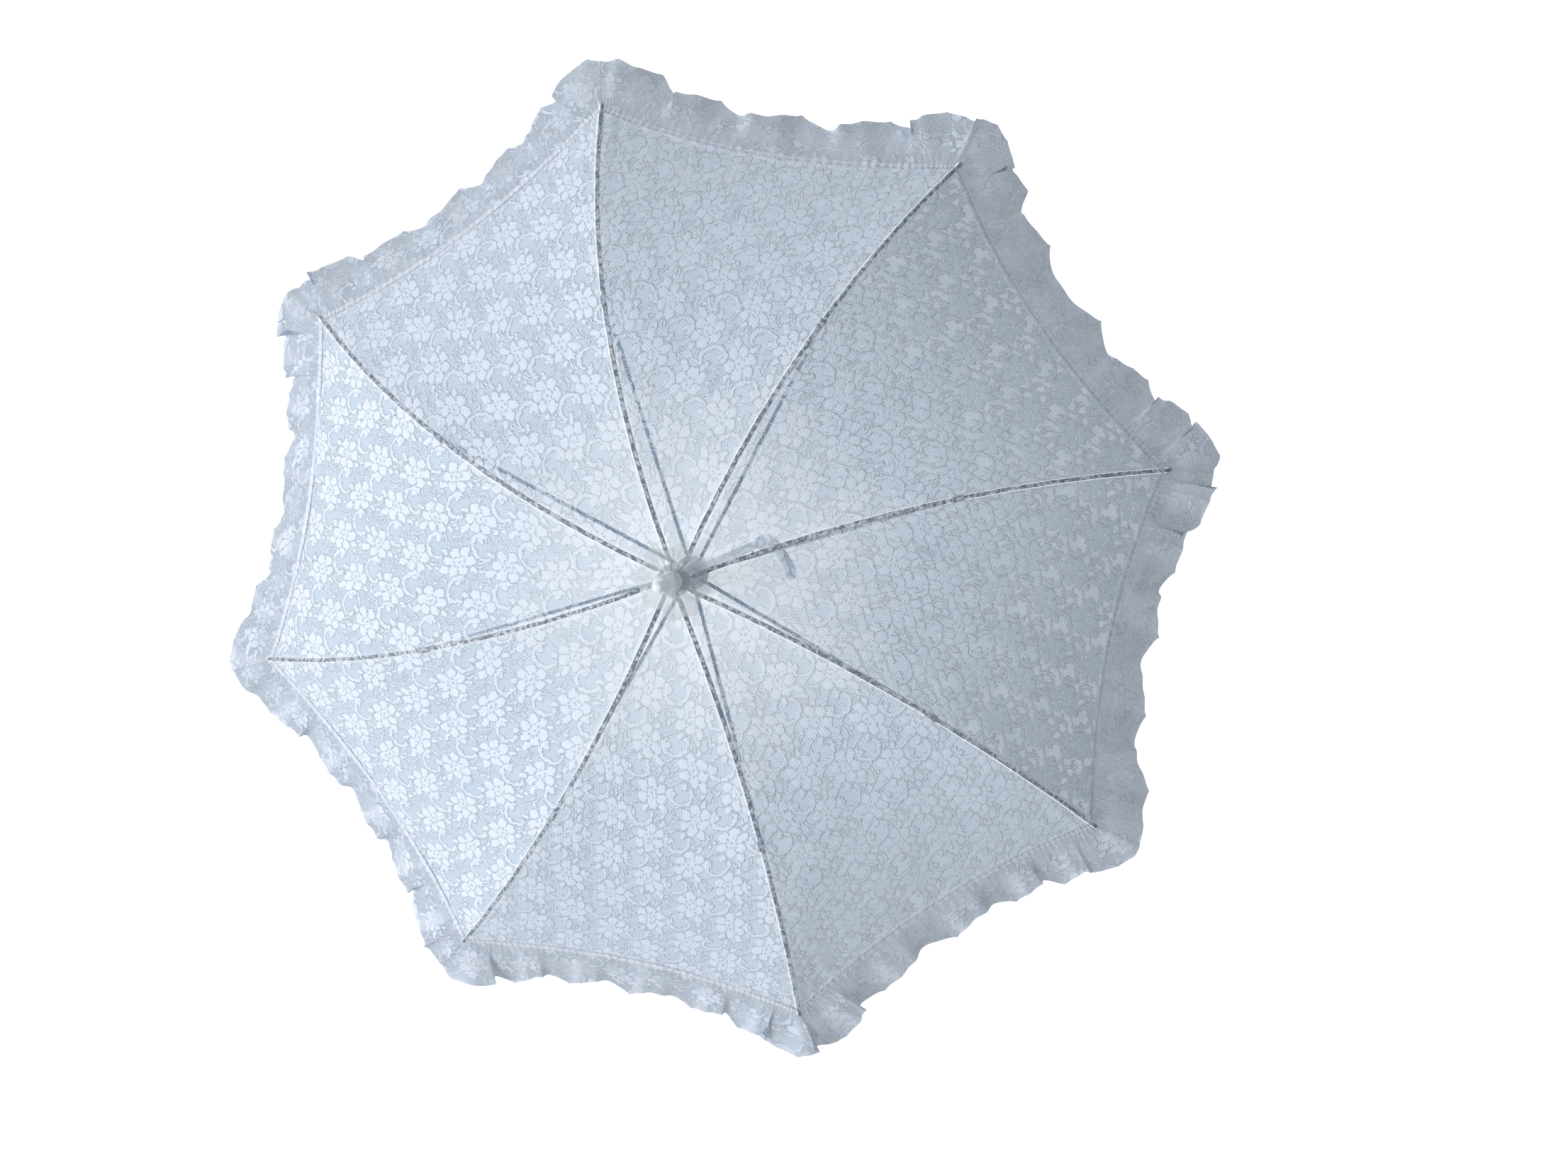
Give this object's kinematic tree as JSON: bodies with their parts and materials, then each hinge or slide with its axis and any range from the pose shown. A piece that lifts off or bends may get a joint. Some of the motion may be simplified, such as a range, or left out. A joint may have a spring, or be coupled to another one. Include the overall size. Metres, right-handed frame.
{
  "type": "lace parasol",
  "caption": "White lace parasol with a gathered lace ruffle, steel ribs and stretchers that fold as the runner slides, and a plastic crook handle.",
  "frame": {"origin": "middle of the straight grip of the crook handle, on the axis of the shaft", "axes": "+Z along the shaft towards the ferrule, +X towards the side that the crook opens to"},
  "size_m": [0.7212, 0.7212, 0.6461],
  "materials": {
    "white_steel": "satin white paint",
    "bright_steel": "bright plated",
    "spring_steel": "plain spring steel",
    "dark_steel": "dark worn plating",
    "white_plastic": "glossy white",
    "notch_plastic": "moulded nylon",
    "lace": "floral net lace",
    "ruffle_lace": "gathered floral net lace",
    "sheer_cloth": "sheer plain weave"
  },
  "bodies": {
    "shaft": {"shaft": "white_steel", "ferrule_cap": "white_plastic", "rosette": "sheer_cloth", "crown": "notch_plastic", "crown_wire": "bright_steel", "stop_pin": "bright_steel", "handle_collar": "bright_steel", "crook_handle": "white_plastic"},
    "runner": {"runner": "notch_plastic", "runner_wire": "bright_steel"},
    "top_catch": {"top_catch": "spring_steel"},
    "bottom_catch": {"bottom_catch": "spring_steel"},
    "rib_1": {"rib_1": "white_steel", "rib_tip_1": "dark_steel", "rib_clip_1": "dark_steel", "gore_1": "lace", "ruffle_1": "ruffle_lace"},
    "stretcher_1": {"stretcher_1": "white_steel"},
    "rib_2": {"rib_2": "white_steel", "rib_tip_2": "dark_steel", "rib_clip_2": "dark_steel", "gore_2": "lace", "ruffle_2": "ruffle_lace"},
    "stretcher_2": {"stretcher_2": "white_steel"},
    "rib_3": {"rib_3": "white_steel", "rib_tip_3": "dark_steel", "rib_clip_3": "dark_steel", "gore_3": "lace", "ruffle_3": "ruffle_lace"},
    "stretcher_3": {"stretcher_3": "white_steel"},
    "rib_4": {"rib_4": "white_steel", "rib_tip_4": "dark_steel", "rib_clip_4": "dark_steel", "gore_4": "lace", "ruffle_4": "ruffle_lace"},
    "stretcher_4": {"stretcher_4": "white_steel"},
    "rib_5": {"rib_5": "white_steel", "rib_tip_5": "dark_steel", "rib_clip_5": "dark_steel", "gore_5": "lace", "ruffle_5": "ruffle_lace"},
    "stretcher_5": {"stretcher_5": "white_steel"},
    "rib_6": {"rib_6": "white_steel", "rib_tip_6": "dark_steel", "rib_clip_6": "dark_steel", "gore_6": "lace", "ruffle_6": "ruffle_lace"},
    "stretcher_6": {"stretcher_6": "white_steel"},
    "rib_7": {"rib_7": "white_steel", "rib_tip_7": "dark_steel", "rib_clip_7": "dark_steel", "gore_7": "lace", "ruffle_7": "ruffle_lace"},
    "stretcher_7": {"stretcher_7": "white_steel"},
    "rib_8": {"rib_8": "white_steel", "rib_tip_8": "dark_steel", "rib_clip_8": "dark_steel", "gore_8": "lace", "ruffle_8": "ruffle_lace"},
    "stretcher_8": {"stretcher_8": "white_steel"}
  },
  "joints": [
    {"name": "runner_slide", "type": "slide", "parent": "shaft", "child": "runner", "axis": [0, 0, -1], "range_m": [0, 0.30966], "deforming": ["rosette", "gore_1", "gore_2", "gore_3", "gore_4", "gore_5", "gore_6", "gore_7", "gore_8", "ruffle_1", "ruffle_2", "ruffle_3", "ruffle_4", "ruffle_5", "ruffle_6", "ruffle_7", "ruffle_8", "top_catch", "bottom_catch"]},
    {"name": "top_catch_press", "type": "slide", "parent": "shaft", "child": "top_catch", "axis": [-1, 0, 0], "range_m": [0, 0.0026], "stiffness_N_per_m": 600},
    {"name": "bottom_catch_press", "type": "slide", "parent": "shaft", "child": "bottom_catch", "axis": [-1, 0, 0], "range_m": [0, 0.0026], "stiffness_N_per_m": 600},
    {"name": "rib_1_hinge", "type": "hinge", "parent": "shaft", "child": "rib_1", "pos_m": [0.00739, 0.00306, 0.53], "axis": [-0.3827, 0.9239, 0], "range_deg": [0, 68.81]},
    {"name": "rib_2_hinge", "type": "hinge", "parent": "shaft", "child": "rib_2", "pos_m": [0.00306, 0.00739, 0.53], "axis": [-0.9239, 0.3827, 0], "range_deg": [0, 68.81]},
    {"name": "rib_3_hinge", "type": "hinge", "parent": "shaft", "child": "rib_3", "pos_m": [-0.00306, 0.00739, 0.53], "axis": [-0.9239, -0.3827, 0], "range_deg": [0, 68.81]},
    {"name": "rib_4_hinge", "type": "hinge", "parent": "shaft", "child": "rib_4", "pos_m": [-0.00739, 0.00306, 0.53], "axis": [-0.3827, -0.9239, 0], "range_deg": [0, 68.81]},
    {"name": "rib_5_hinge", "type": "hinge", "parent": "shaft", "child": "rib_5", "pos_m": [-0.00739, -0.00306, 0.53], "axis": [0.3827, -0.9239, 0], "range_deg": [0, 68.81]},
    {"name": "rib_6_hinge", "type": "hinge", "parent": "shaft", "child": "rib_6", "pos_m": [-0.00306, -0.00739, 0.53], "axis": [0.9239, -0.3827, 0], "range_deg": [0, 68.81]},
    {"name": "rib_7_hinge", "type": "hinge", "parent": "shaft", "child": "rib_7", "pos_m": [0.00306, -0.00739, 0.53], "axis": [0.9239, 0.3827, 0], "range_deg": [0, 68.81]},
    {"name": "rib_8_hinge", "type": "hinge", "parent": "shaft", "child": "rib_8", "pos_m": [0.00739, -0.00306, 0.53], "axis": [0.3827, 0.9239, 0], "range_deg": [0, 68.81]},
    {"name": "stretcher_1_hinge", "type": "hinge", "parent": "rib_1", "child": "stretcher_1", "pos_m": [0.17809, 0.08801, 0.48764], "axis": [-0.3827, 0.9239, 0], "range_deg": [-141.53, 0]},
    {"name": "stretcher_2_hinge", "type": "hinge", "parent": "rib_2", "child": "stretcher_2", "pos_m": [0.06369, 0.18816, 0.48764], "axis": [-0.9239, 0.3827, 0], "range_deg": [-141.53, 0]},
    {"name": "stretcher_3_hinge", "type": "hinge", "parent": "rib_3", "child": "stretcher_3", "pos_m": [-0.08801, 0.17809, 0.48764], "axis": [-0.9239, -0.3827, 0], "range_deg": [-141.53, 0]},
    {"name": "stretcher_4_hinge", "type": "hinge", "parent": "rib_4", "child": "stretcher_4", "pos_m": [-0.18816, 0.06369, 0.48764], "axis": [-0.3827, -0.9239, 0], "range_deg": [-141.53, 0]},
    {"name": "stretcher_5_hinge", "type": "hinge", "parent": "rib_5", "child": "stretcher_5", "pos_m": [-0.17809, -0.08801, 0.48764], "axis": [0.3827, -0.9239, 0], "range_deg": [-141.53, 0]},
    {"name": "stretcher_6_hinge", "type": "hinge", "parent": "rib_6", "child": "stretcher_6", "pos_m": [-0.06369, -0.18816, 0.48764], "axis": [0.9239, -0.3827, 0], "range_deg": [-141.53, 0]},
    {"name": "stretcher_7_hinge", "type": "hinge", "parent": "rib_7", "child": "stretcher_7", "pos_m": [0.08801, -0.17809, 0.48764], "axis": [0.9239, 0.3827, 0], "range_deg": [-141.53, 0]},
    {"name": "stretcher_8_hinge", "type": "hinge", "parent": "rib_8", "child": "stretcher_8", "pos_m": [0.18816, -0.06369, 0.48764], "axis": [0.3827, 0.9239, 0], "range_deg": [-141.53, 0]}
  ],
  "couplings": [
    {"joint": "rib_1_hinge", "follows": "runner_slide", "rad_per_m": 3.8784},
    {"joint": "rib_2_hinge", "follows": "runner_slide", "rad_per_m": 3.8784},
    {"joint": "rib_3_hinge", "follows": "runner_slide", "rad_per_m": 3.8784},
    {"joint": "rib_4_hinge", "follows": "runner_slide", "rad_per_m": 3.8784},
    {"joint": "rib_5_hinge", "follows": "runner_slide", "rad_per_m": 3.8784},
    {"joint": "rib_6_hinge", "follows": "runner_slide", "rad_per_m": 3.8784},
    {"joint": "rib_7_hinge", "follows": "runner_slide", "rad_per_m": 3.8784},
    {"joint": "rib_8_hinge", "follows": "runner_slide", "rad_per_m": 3.8784},
    {"joint": "stretcher_1_hinge", "follows": "runner_slide", "rad_per_m": -7.9772},
    {"joint": "stretcher_2_hinge", "follows": "runner_slide", "rad_per_m": -7.9772},
    {"joint": "stretcher_3_hinge", "follows": "runner_slide", "rad_per_m": -7.9772},
    {"joint": "stretcher_4_hinge", "follows": "runner_slide", "rad_per_m": -7.9772},
    {"joint": "stretcher_5_hinge", "follows": "runner_slide", "rad_per_m": -7.9772},
    {"joint": "stretcher_6_hinge", "follows": "runner_slide", "rad_per_m": -7.9772},
    {"joint": "stretcher_7_hinge", "follows": "runner_slide", "rad_per_m": -7.9772},
    {"joint": "stretcher_8_hinge", "follows": "runner_slide", "rad_per_m": -7.9772}
  ]
}
